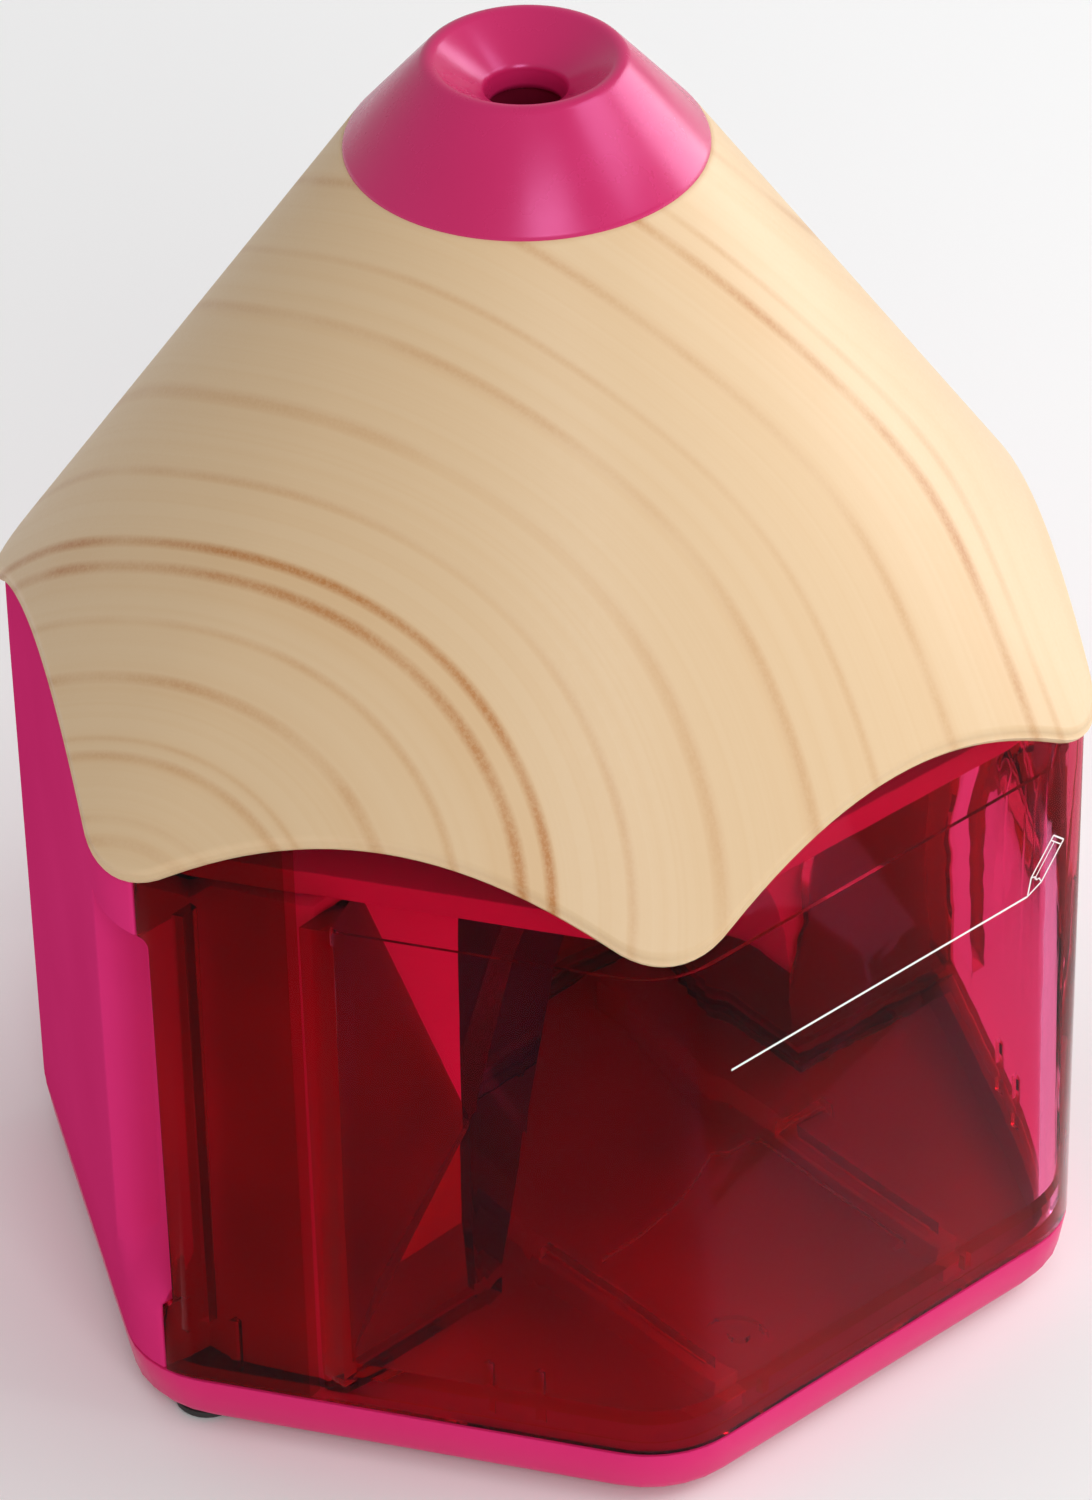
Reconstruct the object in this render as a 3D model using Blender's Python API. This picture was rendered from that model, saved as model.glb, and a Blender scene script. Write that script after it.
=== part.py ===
"""Battery pencil sharpener shaped like the sharpened end of a hexagonal pencil.

A clear shavings bin makes the three front faces and slides out forwards. A rear
housing makes the other three, and holds the cells and the motor. A printed cone
cover stands on both, and a cap with the pencil hole closes its top. Inside, the
motor turns a carrier through an idler gear, and the carrier rolls a helical
cutter round the pencil inside a fixed ring gear.

Lengths are in millimetres until mesh_object() turns them into metres.
+Z is up, -Y is the front, and z = 0 is the underside of the feet.
"""
import math

import bpy
from mathutils import Matrix, Vector

for old in list(bpy.data.objects):
    bpy.data.objects.remove(old, do_unlink=True)

MM = 0.001
GAP = 0.3                     # between faces that touch on the real object
SIXTH = math.radians(60)

# ---- driving dimensions: the outer shape -----------------------------------
FOOT_GAP = 1.2                # underside of the base above the ground
BASE_TOP = 6.2                # top of the base's rim
SHARP_BOTTOM = 50.0           # hexagon's corner distance before its corners are rounded
SHARP_LIP = 51.0
SHARP_SHOULDER = 52.0
SHOULDER_Z = 62.6
SHARP_WOOD = 52.5
CORNER_FILLET = 9.9
APEX_Z = 137.0                # where the cone's sides would meet
CONE_SLOPE = 0.685            # radius lost for each unit of height
CONE_TOP = 113.7
SHELL = 2.9                   # the cone cover's thickness, measured level
WOOD_EDGE = 0.7               # depth of the cone cover's lower edge
WALL = 2.0
BASE_RIM, BASE_FLOOR = 2.8, 3.6
ARC_STEPS, FLAT_STEPS = 5, 8
ARC_HALF = math.radians(6.0)

# ---- driving dimensions: bin and rear housing ------------------------------
WALLS_FROM = BASE_TOP + GAP
PARTING_Y = -1.5              # the housing's side of the seam
BIN_END_Y = PARTING_Y - GAP
ROOM_TOP = 58.8               # top of the housing's inner walls
SEAM_TOP = 55.8               # lower beside the seam, so that the deck clears it
BIN_INNER_TOP = 58.3
BIN_BACK_Y = -13.8
BIN_CENTRE_HALF = 22.5
BIN_CENTRE_BACK = 12.6
BIN_WALL = 1.8
BIN_FLOOR = (8.4, 10.0)
BIN_OVERLAP = 1.0             # how far the tray's walls run into the outer wall
BAY_Y, BAY_HALF, BAY_BACK = -13.2, 23.0, 13.2
FLANGE_X, FLANGE_Y, BAY_FRONT_X = 43.6, -4.5, 39.4
GRIP_X, GRIP_END_Y, GRIP_BLEND = 44.6, 7.0, 3.5
CELL_R, CELL_Z = 7.25, (4.6, 55.1)
CELL_X, CELL_Y = 32.4, (-3.6, 11.2)
POST_X, POST_Y, POST_R, POST_WEB = 24.0, 31.0, 3.0, 1.0
SCREW_HOLE_R = 1.4
PLUNGER_X, PLUNGER_Z, PLUNGER_HOLE_R = -12.0, 35.0, 1.9

# ---- driving dimensions: base and battery doors ----------------------------
DOOR_INNER, DOOR_OUTER, DOOR_FRONT, DOOR_BACK = -23.5, -41.0, -11.5, 18.0
DOOR_TOP, DOOR_TRAVEL, DOOR_LEDGE = 2.3, 5.0, 1.2
RAIL_X, RAIL_HALF, RAIL_Y = 14.0, 1.2, (-38.0, 10.0)
FOOT_PLACES = [(-44.4, -1.5), (44.4, -1.5), (0.0, -36.5), (0.0, 36.5)]

# ---- driving dimensions: drive ---------------------------------------------
DECK_Z = (59.1, 61.5)
MAIN_TEETH, MAIN_MODULE = 44, 1.0
IDLER_SMALL_TEETH = 12
IDLER_LARGE_TEETH, MOTOR_TEETH, MOTOR_MODULE = 30, 10, 0.8
MAIN_Z = (63.8, 67.8)
UPPER_Z = (68.8, 71.8)
MOTOR_ANGLE, MOTOR_DISTANCE = math.radians(72.0), 29.0
MOTOR_R, MOTOR_Z = 12.0, (26.0, 56.4)
TIP_Z = 71.5                  # where the sharpened pencil's point comes to
TILT = math.radians(10.0)
CUTTER_R, CUTTER_S = 5.0, (1.5, 19.5)
CUTTER_BLADES, CUTTER_TWIST = 9, math.radians(50)
AXLE_R, AXLE_BORE = 1.3, 1.6
PINION_S = (25.6, 28.2)
IDLER_BORE = 1.8
PLANET_TEETH, RING_TEETH, PLANET_MODULE = 12, 38, 0.75
HOLE_R = 4.05                 # pencil hole


def material(name, colour, roughness, metallic=0.0, transmission=0.0):
    made = bpy.data.materials.new(name)
    made.use_nodes = True
    shader = made.node_tree.nodes["Principled BSDF"]
    shader.inputs["Base Color"].default_value = (*colour, 1.0)
    shader.inputs["Roughness"].default_value = roughness
    shader.inputs["Metallic"].default_value = metallic
    shader.inputs["Transmission Weight"].default_value = transmission
    return made


PINK = material("pink_plastic", (0.56, 0.025, 0.125), 0.38)
WOOD = material("printed_wood", (0.74, 0.52, 0.33), 0.5)
CLEAR_RED = material("clear_red_plastic", (0.55, 0.02, 0.06), 0.08, transmission=0.8)
CREAM = material("acetal", (0.8, 0.78, 0.7), 0.4)
GREY = material("grey_plastic", (0.15, 0.15, 0.16), 0.45)
STEEL = material("steel", (0.62, 0.62, 0.64), 0.3, metallic=1.0)
BRASS = material("brass", (0.8, 0.6, 0.28), 0.3, metallic=1.0)
RUBBER = material("rubber", (0.03, 0.03, 0.03), 0.8)
CELL = material("cell_jacket", (0.1, 0.11, 0.13), 0.35)


# ---- mesh helpers ----------------------------------------------------------
def mesh_object(name, points, faces, finish):
    mesh = bpy.data.meshes.new(name)
    mesh.from_pydata([[c * MM for c in point] for point in points], [], faces)
    mesh.validate()
    mesh.materials.append(finish)
    mesh.shade_smooth()
    mesh.set_sharp_from_angle(angle=math.radians(35))
    made = bpy.data.objects.new(name, mesh)
    bpy.context.scene.collection.objects.link(made)
    return made


def skin(name, rings, finish, closed=False):
    """Join rings of equal point counts, and cap the ends or join them too.

    Each ring runs anticlockwise seen from the end that the rings advance to.
    """
    count = len(rings[0])
    points = [point for ring in rings for point in ring]
    faces = []
    spans = len(rings) if closed else len(rings) - 1
    for span in range(spans):
        low, high = span * count, (span + 1) % len(rings) * count
        for i in range(count):
            j = (i + 1) % count
            faces.append((low + i, low + j, high + j, high + i))
    if not closed:
        faces.append(tuple(range(count))[::-1])
        last = (len(rings) - 1) * count
        faces.append(tuple(range(last, last + count)))
    return mesh_object(name, points, faces, finish)


def prism(name, outline, low, high, finish):
    """An outline in plan, anticlockwise from above, raised between two heights."""
    return skin(name, [[(x, y, z) for x, y in outline] for z in (low, high)], finish)


def plate(name, outline, low_y, high_y, finish):
    """An outline of (x, z), anticlockwise seen from the front, extruded along Y."""
    return skin(name, [[(x, y, z) for x, z in outline] for y in (high_y, low_y)], finish)


def lathe(name, profile, finish, centre=(0.0, 0.0), steps=32, closed=False):
    """Turn (radius, z) round a vertical axis: from the bottom up, outside first."""
    rings = [[(centre[0] + r * math.cos(a), centre[1] + r * math.sin(a), z)
              for a in turn_angles(steps)] for r, z in profile]
    return skin(name, rings, finish, closed)


def turn_angles(steps):
    return [2 * math.pi * i / steps for i in range(steps)]


def circle(radius, steps=24, centre=(0.0, 0.0)):
    return [(centre[0] + radius * math.cos(a), centre[1] + radius * math.sin(a))
            for a in turn_angles(steps)]


def box(name, low, high, finish):
    outline = [(low[0], low[1]), (high[0], low[1]), (high[0], high[1]), (low[0], high[1])]
    return prism(name, outline, low[2], high[2], finish)


def combine(target, tool, operation):
    """A Boolean whose tool stays in the file as a hidden wire guide."""
    tool.hide_render = True
    tool.display_type = "WIRE"
    made = target.modifiers.new(tool.name, "BOOLEAN")
    made.operation = operation
    made.solver = "EXACT"
    made.object = tool


def lay_along_y(piece, at):
    """Turn a piece made round the Z axis to lie along Y, and move it."""
    turn = Matrix.Rotation(math.radians(90), 4, "X")
    piece.data.transform(Matrix.Translation(Vector(at) * MM) @ turn)


# ---- the rounded hexagon ---------------------------------------------------
def hexagon_radius(angle, sharp, inset=0.0):
    """Distance from the axis to the outline, with a corner at angle 0."""
    half = SIXTH / 2
    off = abs((angle + half) % SIXTH - half)
    fillet = CORNER_FILLET - inset
    corner = sharp - inset / math.cos(half)
    centre = corner - fillet / math.cos(half)
    tangent = math.atan2(fillet * math.sin(half), centre + fillet * math.cos(half))
    if off < tangent:
        return centre * math.cos(off) + math.sqrt(fillet**2 - (centre * math.sin(off))**2)
    return corner * math.cos(half) / math.cos(half - off)


def body_sharp(z):
    """The walls lean out slightly: the sharp corner distance at a height."""
    if z < BASE_TOP:
        return SHARP_BOTTOM + (SHARP_LIP - SHARP_BOTTOM) * (z - FOOT_GAP) / (BASE_TOP - FOOT_GAP)
    return SHARP_LIP + (SHARP_SHOULDER - SHARP_LIP) * (z - BASE_TOP) / (SHOULDER_Z - BASE_TOP)


def outline_angles():
    arc = [ARC_HALF * (2 * i / ARC_STEPS - 1) for i in range(ARC_STEPS)]
    flat = [ARC_HALF + (SIXTH - 2 * ARC_HALF) * i / FLAT_STEPS for i in range(FLAT_STEPS)]
    return [corner * SIXTH + off for corner in range(6) for off in arc + flat]


def polar(radius, angle, z):
    return (radius * math.cos(angle), radius * math.sin(angle), z)


def border_z(angle):
    """Height of the cone cover's lower border, where the cone meets the hexagon."""
    return APEX_Z - hexagon_radius(angle, SHARP_WOOD) / CONE_SLOPE


def wall_top(angle):
    return border_z(angle) - WOOD_EDGE - 2 * GAP


def hexagon_ring(z, inset, sharp=None):
    sharp = body_sharp(z) if sharp is None else sharp
    return [polar(hexagon_radius(a, sharp, inset), a, z) for a in outline_angles()]


# ---- base ------------------------------------------------------------------
def door_outline(grow, reach=0.0):
    """The left battery door in plan; reach extends its inner side for its travel."""
    inner, outer = DOOR_INNER + grow + reach, DOOR_OUTER - grow
    front, back = DOOR_FRONT - grow, DOOR_BACK + grow
    return [(outer + 2.0, front), (inner, front), (inner, back),
            (DOOR_OUTER + 7.4 - grow / 2, back), (outer, 5.2 + grow / 2),
            (outer, DOOR_FRONT + 4.0 - grow / 2)]


def mirrored(outline, side):
    """The outline for side -1 as it is, or mirrored to +X and still anticlockwise."""
    return outline if side < 0 else [(-x, y) for x, y in reversed(outline)]


def base_plate():
    rings = [hexagon_ring(FOOT_GAP, 1.5, SHARP_BOTTOM), hexagon_ring(FOOT_GAP + 0.4, 0.5),
             hexagon_ring(FOOT_GAP + 1.4, 0.0), hexagon_ring(BASE_TOP, 0.0),
             hexagon_ring(BASE_TOP, BASE_RIM), hexagon_ring(BASE_FLOOR, BASE_RIM)]
    base = skin("base_plate", rings, PINK)
    for side, word in ((-1, "left"), (1, "right")):
        pocket = prism(f"cut_door_pocket_{word}", mirrored(door_outline(GAP, DOOR_TRAVEL + GAP), side),
                       FOOT_GAP - 0.4, DOOR_TOP + GAP, PINK)
        combine(base, pocket, "DIFFERENCE")
        opening = prism(f"cut_door_opening_{word}", mirrored(door_outline(-DOOR_LEDGE), side),
                        0.6, 7.0, PINK)
        combine(base, opening, "DIFFERENCE")
        post = (side * POST_X, POST_Y)
        hole = lathe(f"cut_base_screw_{word}", [(3.1, 0.5), (3.1, 2.7), (SCREW_HOLE_R, 2.7),
                                                (SCREW_HOLE_R, 7.5)], PINK, post, 20)
        combine(base, hole, "DIFFERENCE")
    # Two rails carry the middle of the bin.
    for side in (-1, 1):
        x = side * RAIL_X
        rail = box(f"add_rail_{side + 1}", (x - RAIL_HALF, RAIL_Y[0], BASE_FLOOR - 0.4),
                   (x + RAIL_HALF, RAIL_Y[1], BASE_TOP), PINK)
        combine(base, rail, "UNION")
    return base


# ---- rear housing ----------------------------------------------------------
GRIP_LEVELS = ((WALLS_FROM, 0.0), (13.0, 0.0), (15.5, 0.6), (18.5, 1.0), (50.0, 1.0),
               (54.6, 1.0), (55.6, 0.0))


def housing_plan(z, grip):
    """The housing's outer line at a height, anticlockwise, as (x, y, top of the wall)."""
    sharp = body_sharp(z)
    end = math.asin(-PARTING_Y / hexagon_radius(0.0, sharp))
    angles = [a for a in outline_angles() if -end + 0.01 < a < math.pi + end - 0.01]
    plan = []
    for angle in [-end] + angles + [math.pi + end]:
        x, y, _ = polar(hexagon_radius(angle, sharp), angle, z)
        blend = min(1.0, max(0.0, (GRIP_END_Y - y) / GRIP_BLEND)) * grip
        if abs(x) > GRIP_X:
            x += (math.copysign(GRIP_X, x) - x) * blend
        plan.append((x, y, wall_top(angle)))
    left = [(-FLANGE_X, PARTING_Y, SEAM_TOP), (-FLANGE_X, FLANGE_Y, ROOM_TOP),
            (-BAY_FRONT_X, BAY_Y, ROOM_TOP), (-BAY_HALF, BAY_Y, ROOM_TOP),
            (-BAY_HALF, BAY_BACK, ROOM_TOP)]
    return plan + left + [(-x, y, top) for x, y, top in reversed(left)]


def offset_inward(plan, distance):
    """Each corner of an anticlockwise line moved to its left, keeping the wall even."""
    moved = []
    count = len(plan)
    for i in range(count):
        before, here, after = (Vector(plan[k % count][:2]) for k in (i - 1, i, i + 1))
        first, second = (here - before).normalized(), (after - here).normalized()
        left_a, left_b = Vector((-first.y, first.x)), Vector((-second.y, second.x))
        mitre = (left_a + left_b) / (1 + left_a.dot(left_b))
        moved.append(here + mitre * distance)
    return moved


def rear_housing():
    levels = list(GRIP_LEVELS) + [(None, 0.0)]
    columns = None
    for z, grip in levels:
        plan = housing_plan(ROOM_TOP if z is None else z, grip)
        inner = offset_inward(plan, BIN_WALL)
        if columns is None:
            columns = [([], []) for _ in plan]
        for column, (x, y, top), hidden in zip(columns, plan, inner):
            height = top if z is None else z
            column[0].append((x, y, height))
            column[1].append((hidden.x, hidden.y, height))
    # Each section runs up outside and down inside.
    sections = [outer + within[::-1] for outer, within in columns]
    housing = skin("rear_housing", [ring[::-1] for ring in sections], PINK, closed=True)
    for side in (-1, 1):
        post = prism(f"add_post_{side + 1}", post_outline(side), WALLS_FROM, ROOM_TOP, PINK)
        combine(housing, post, "UNION")
    for side in (-1, 1):
        hole = lathe(f"cut_post_{side + 1}", [(SCREW_HOLE_R, 5.0), (SCREW_HOLE_R, 60.0)], PINK,
                     (side * POST_X, POST_Y), 16)
        combine(housing, hole, "DIFFERENCE")
    hole = lathe("cut_plunger_hole", [(PLUNGER_HOLE_R, -4.0), (PLUNGER_HOLE_R, 4.0)], PINK,
                 steps=16)
    lay_along_y(hole, (PLUNGER_X, BAY_BACK + 1.0, PLUNGER_Z))
    combine(housing, hole, "DIFFERENCE")
    return housing


def post_outline(side):
    """A round screw post with a web that reaches into the housing's wall."""
    cos, sin = math.cos(SIXTH / 2), math.sin(SIXTH / 2)
    start = math.asin(POST_WEB / POST_R)
    arc = [start + (2 * math.pi - 2 * start) * i / 14 for i in range(15)]
    wall_middle = 43.7        # from the axis to the middle of the flat wall
    reach = wall_middle - (POST_X * cos + POST_Y * sin)
    outline = [(POST_R * math.cos(a), POST_R * math.sin(a)) for a in arc]
    outline += [(reach, -POST_WEB), (reach, POST_WEB)]
    right = [(POST_X + x * cos - y * sin, POST_Y + x * sin + y * cos) for x, y in outline]
    return right if side > 0 else [(-x, y) for x, y in reversed(right)]


# ---- shavings bin ----------------------------------------------------------
def tray_outline(z, inset):
    """The tray's plan, anticlockwise, at a distance inside the bin's outer face."""
    wall = BIN_WALL if inset > BIN_OVERLAP else 0.0
    back, half, deep = BIN_BACK_Y - wall, BIN_CENTRE_HALF - wall, BIN_CENTRE_BACK - wall
    sharp = body_sharp(z)
    flat = sharp * math.cos(SIXTH / 2) - inset
    side_x = (flat + back * math.sin(SIXTH / 2)) / math.cos(SIXTH / 2)
    end = math.atan2(-back, side_x)
    angles = [a for a in outline_angles() if math.pi + end + 0.01 < a < 2 * math.pi - end - 0.01]
    outline = [(-side_x, back)]
    outline += [polar(hexagon_radius(a, sharp, inset), a, z)[:2] for a in angles]
    outline += [(side_x, back), (half, back), (half, deep), (-half, deep), (-half, back)]
    return outline


def tray_solid(name, low, high, inset):
    rings = [[(x, y, z) for x, y in tray_outline(z, inset)] for z in (low, high)]
    return skin(name, rings, CLEAR_RED)


def shavings_bin():
    """The outer wall is a strip round three faces; the tray joins it from inside."""
    end = math.asin(-BIN_END_Y / hexagon_radius(0.0, SHARP_SHOULDER))
    angles = [a for a in outline_angles() if math.pi + end + 0.01 < a < 2 * math.pi - end - 0.01]
    sections = []
    for angle in [math.pi + end] + angles + [2 * math.pi - end]:
        top = wall_top(angle)
        corners = [(WALLS_FROM, 0.0), (top, 0.0), (top, WALL), (WALLS_FROM, WALL)]
        ring = [polar(hexagon_radius(angle, body_sharp(z), inset), angle, z)
                for z, inset in corners]
        sections.append(ring[::-1])
    wall = skin("shavings_bin", sections, CLEAR_RED)
    tray = tray_solid("add_bin_tray", WALLS_FROM, BIN_INNER_TOP, BIN_OVERLAP)
    combine(tray, tray_solid("cut_bin_cavity", BIN_FLOOR[1], 62.0, WALL + GAP), "DIFFERENCE")
    combine(tray, tray_solid("cut_bin_skirt", 5.5, BIN_FLOOR[0], WALL + GAP), "DIFFERENCE")
    combine(wall, tray, "UNION")
    return wall


# ---- cone cover and cap ----------------------------------------------------
def wood_cover():
    sections = []
    for angle in outline_angles():
        edge = hexagon_radius(angle, SHARP_WOOD)
        low = border_z(angle)
        inner = edge - 3.4
        inner_z = APEX_Z - (inner + SHELL) / CONE_SLOPE
        top_r = (APEX_Z - CONE_TOP) * CONE_SLOPE
        profile = [(edge - 0.5, low - WOOD_EDGE), (edge, low), (top_r, CONE_TOP),
                   (top_r - SHELL, CONE_TOP), (inner, inner_z), (inner, low - WOOD_EDGE)]
        sections.append([polar(r, angle, z) for r, z in reversed(profile)])
    return skin("wood_cover", sections, WOOD, closed=True)


def tip_cap():
    foot = CONE_TOP + GAP
    profile = [(12.6, 111.8), (12.6, foot), (15.45, foot), (15.35, foot + 0.5), (9.75, 122.5),
               (9.15, 123.15), (8.4, 123.35), (7.8, 123.0), (4.8, 120.3), (HOLE_R, 119.5),
               (HOLE_R, 118.2), (7.6, 118.2), (11.2, 113.6), (11.2, 111.8)]
    return lathe("tip_cap", profile, PINK, steps=48, closed=True)


# ---- gears -----------------------------------------------------------------
def gear_outline(teeth, module, phase, centre=(0.0, 0.0), inward=False):
    """Straight-sided teeth, narrow enough to roll with clearance; tooth 0 at phase."""
    pitch = teeth * module / 2
    tooth = 0.28 * 2 * math.pi / teeth
    tip = pitch + (-0.6 if inward else 0.85) * module
    root = pitch + (1.7 if inward else -1.15) * module
    outline = []
    for i in range(teeth):
        middle = phase + 2 * math.pi * i / teeth
        for radius, across in ((root, -0.75), (tip, -0.32), (tip, 0.32), (root, 0.75)):
            angle = middle + across * tooth
            outline.append((centre[0] + radius * math.cos(angle),
                            centre[1] + radius * math.sin(angle)))
    return outline


def holed_gear(name, outline, bore, low, high, finish, centre=(0.0, 0.0)):
    """A gear with a round bore; the bore has a point for each point of the teeth."""
    steps = [math.atan2(y - centre[1], x - centre[0]) for x, y in outline]
    hole = [(centre[0] + bore * math.cos(a), centre[1] + bore * math.sin(a)) for a in steps]
    rings = [[(x, y, z) for x, y in ring]
             for ring, z in ((hole, low), (outline, low), (outline, high), (hole, high))]
    return skin(name, rings, finish, closed=True)


IDLER_DISTANCE = (MAIN_TEETH + IDLER_SMALL_TEETH) * MAIN_MODULE / 2
IDLER_TO_MOTOR = (IDLER_LARGE_TEETH + MOTOR_TEETH) * MOTOR_MODULE / 2
IDLER_ANGLE = MOTOR_ANGLE + math.acos(
    (IDLER_DISTANCE**2 + MOTOR_DISTANCE**2 - IDLER_TO_MOTOR**2)
    / (2 * IDLER_DISTANCE * MOTOR_DISTANCE))
MOTOR_AT = polar(MOTOR_DISTANCE, MOTOR_ANGLE, 0.0)[:2]
IDLER_AT = polar(IDLER_DISTANCE, IDLER_ANGLE, 0.0)[:2]
MOTOR_FROM_IDLER = math.atan2(MOTOR_AT[1] - IDLER_AT[1], MOTOR_AT[0] - IDLER_AT[0])


def idler_gear():
    """A large and a small gear moulded as one, on a fixed pin."""
    small = gear_outline(IDLER_SMALL_TEETH, MAIN_MODULE,
                         IDLER_ANGLE + math.pi + math.pi / IDLER_SMALL_TEETH, IDLER_AT)
    large = gear_outline(IDLER_LARGE_TEETH, MOTOR_MODULE, MOTOR_FROM_IDLER, IDLER_AT)
    gear = holed_gear("idler_gear", large, IDLER_BORE, *UPPER_Z, CREAM, IDLER_AT)
    lower = holed_gear("add_idler_small", small, IDLER_BORE, MAIN_Z[0], UPPER_Z[0] + 0.4,
                       CREAM, IDLER_AT)
    combine(gear, lower, "UNION")
    bore = lathe("cut_idler_bore", [(IDLER_BORE, 60.0), (IDLER_BORE, 76.0)], CREAM,
                 IDLER_AT, 24)
    combine(gear, bore, "DIFFERENCE")
    return gear


# ---- cutter and its tilted axis --------------------------------------------
def tilted(x, y, s):
    """A point beside the cutter's axis at distance s along it, in world axes."""
    start = CUTTER_R / math.cos(TILT)
    return (start + s * math.sin(TILT) + x * math.cos(TILT), y,
            TIP_Z + s * math.cos(TILT) - x * math.sin(TILT))


def tilted_rod(name, radius, low, high, finish, steps=16):
    return skin(name, [[tilted(x, y, s) for x, y in circle(radius, steps)]
                       for s in (low, high)], finish)


def helical_cutter():
    """Raked blades that wind along the drum, with a bore for the axle."""
    levels, (low, high) = 8, CUTTER_S
    rings = []
    for level in range(levels + 1):
        s = low + (high - low) * level / levels
        twist = CUTTER_TWIST * level / levels
        rings.append([tilted(r * math.cos(a + twist), r * math.sin(a + twist), s)
                      for a, r in blade_points(CUTTER_BLADES)])
    bores = [[tilted(AXLE_BORE * math.cos(a + twist), AXLE_BORE * math.sin(a + twist), s)
              for a, _ in blade_points(CUTTER_BLADES)]
             for s, twist in ((high, CUTTER_TWIST), (low, 0.0))]
    return skin("helical_cutter", rings + bores, STEEL, closed=True)


def blade_points(blades):
    """Angle and radius of each blade's edge, the foot of its rake and its back."""
    step = 2 * math.pi / blades
    for i in range(blades):
        for across, radius in ((0.0, CUTTER_R), (0.22, CUTTER_R - 0.9), (0.72, CUTTER_R - 0.7)):
            yield (i + across) * step, radius


def cutter_pinion():
    teeth = gear_outline(PLANET_TEETH, PLANET_MODULE, 0.0)
    steps = [math.atan2(y, x) for x, y in teeth]
    bore = [(AXLE_BORE * math.cos(a), AXLE_BORE * math.sin(a)) for a in steps]
    low, high = PINION_S
    rings = [[tilted(x, y, s) for x, y in ring]
             for ring, s in ((bore, low), (teeth, low), (teeth, high), (bore, high))]
    return skin("cutter_pinion", rings, STEEL, closed=True)


def cutter_carrier():
    """A lower ring with a bridge, an open half shell and an upper disc."""
    low, mid, high, top = 68.1, 70.8, 92.6, 95.0
    carrier = lathe("cutter_carrier", [(10.2, low), (14.6, low), (14.6, mid), (10.2, mid)],
                    GREY, steps=36, closed=True)
    bridge = box("add_bridge", (1.6, -3.4, low), (12.4, 3.4, mid), GREY)
    combine(carrier, bridge, "UNION")
    arc = [math.radians(75 + 210 * i / 16) for i in range(17)]
    shell = [(14.2 * math.cos(a), 14.2 * math.sin(a)) for a in arc]
    shell += [(11.8 * math.cos(a), 11.8 * math.sin(a)) for a in reversed(arc)]
    combine(carrier, prism("add_carrier_shell", shell, mid - 0.6, high + 0.6, GREY), "UNION")
    disc = lathe("add_carrier_disc", [(4.6, high), (13.1, high), (13.1, top), (4.6, top)],
                 GREY, steps=36, closed=True)
    combine(carrier, disc, "UNION")
    combine(carrier, tilted_rod("cut_axle", 1.62, -6.0, 30.0, GREY), "DIFFERENCE")
    return carrier


def ring_gear():
    teeth = gear_outline(RING_TEETH, PLANET_MODULE, math.pi / RING_TEETH, inward=True)
    return holed_ring("ring_gear", teeth, 18.0, 95.6, 100.5, CREAM)


def holed_ring(name, inner, outer_r, low, high, finish):
    steps = [math.atan2(y, x) for x, y in inner]
    outer = [(outer_r * math.cos(a), outer_r * math.sin(a)) for a in steps]
    rings = [[(x, y, z) for x, y in ring]
             for ring, z in ((inner, low), (outer, low), (outer, high), (inner, high))]
    return skin(name, rings, finish, closed=True)


def pencil_guide():
    """The tube under the cap, with the flange that the ring gear hangs from."""
    profile = [(4.7, 100.8), (18.3, 100.8), (18.3, 102.6), (6.2, 102.6), (6.2, 117.9),
               (4.3, 117.9), (4.3, 103.4)]
    guide = lathe("pencil_guide", profile, PINK, steps=32, closed=True)
    slot = box("cut_lever_slot", (-7.5, -1.4, 102.9), (-3.0, 1.4, 109.4), PINK)
    combine(guide, slot, "DIFFERENCE")
    return guide


# ---- gearbox deck ----------------------------------------------------------
def gearbox_deck():
    """The plate over the bin and the cells, open in the middle for the shavings."""
    hole, edge = 11.0, 5.4
    rings = [[polar(hole, a, z) for a in outline_angles()] if inner
             else hexagon_ring(z, edge, SHARP_SHOULDER)
             for z, inner in ((DECK_Z[0], True), (DECK_Z[0], False),
                              (DECK_Z[1], False), (DECK_Z[1], True))]
    deck = skin("gearbox_deck", rings, PINK, closed=True)
    holes = [(*MOTOR_AT, 2.6, "shaft"), (POST_X, POST_Y, SCREW_HOLE_R, "right"),
             (-POST_X, POST_Y, SCREW_HOLE_R, "left")]
    for x, y, radius, word in holes:
        cutter = lathe(f"cut_deck_{word}", [(radius, 57.0), (radius, 64.0)], PINK, (x, y), 16)
        combine(deck, cutter, "DIFFERENCE")
    return deck


# ---- switches --------------------------------------------------------------
LEVER_PIVOT = (-10.4, 110.0)


def switch_lever():
    """A bent lever whose toe stands in the pencil's way."""
    outline = [(-12.0, 104.4), (-10.9, 104.4), (-9.0, 106.9), (-3.2, 104.9), (-3.2, 106.2),
               (-7.9, 108.6), (-8.9, 111.2), (-11.6, 111.2), (-12.0, 109.4)]
    lever = plate("switch_lever", outline, -1.0, 1.0, GREY)
    hole = lathe("cut_lever_pin", [(1.0, -3.0), (1.0, 3.0)], GREY, steps=12)
    lay_along_y(hole, (LEVER_PIVOT[0], 0, LEVER_PIVOT[1]))
    combine(lever, hole, "DIFFERENCE")
    return lever


def cross_rod(name, profile, x, z, finish, steps=16):
    """Turn (radius, y) round an axis that runs along Y at (x, z), from back to front."""
    rings = [[(x + r * math.cos(a), y, z + r * math.sin(a)) for a in turn_angles(steps)]
             for r, y in profile]
    return skin(name, rings, finish)


# ---- small repeated parts --------------------------------------------------
def screw(name, x, y, head, tip, finish=STEEL):
    """A pan-head screw; it points up when its tip is above its head."""
    way = 1 if tip > head else -1
    profile = [(2.1, head), (2.5, head + way * 0.35), (2.5, head + way * 1.1),
               (1.0, head + way * 1.1), (1.0, tip - way * 1.0), (0.4, tip)]
    return lathe(name, profile if way > 0 else profile[::-1], finish, (x, y), 16)


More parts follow.
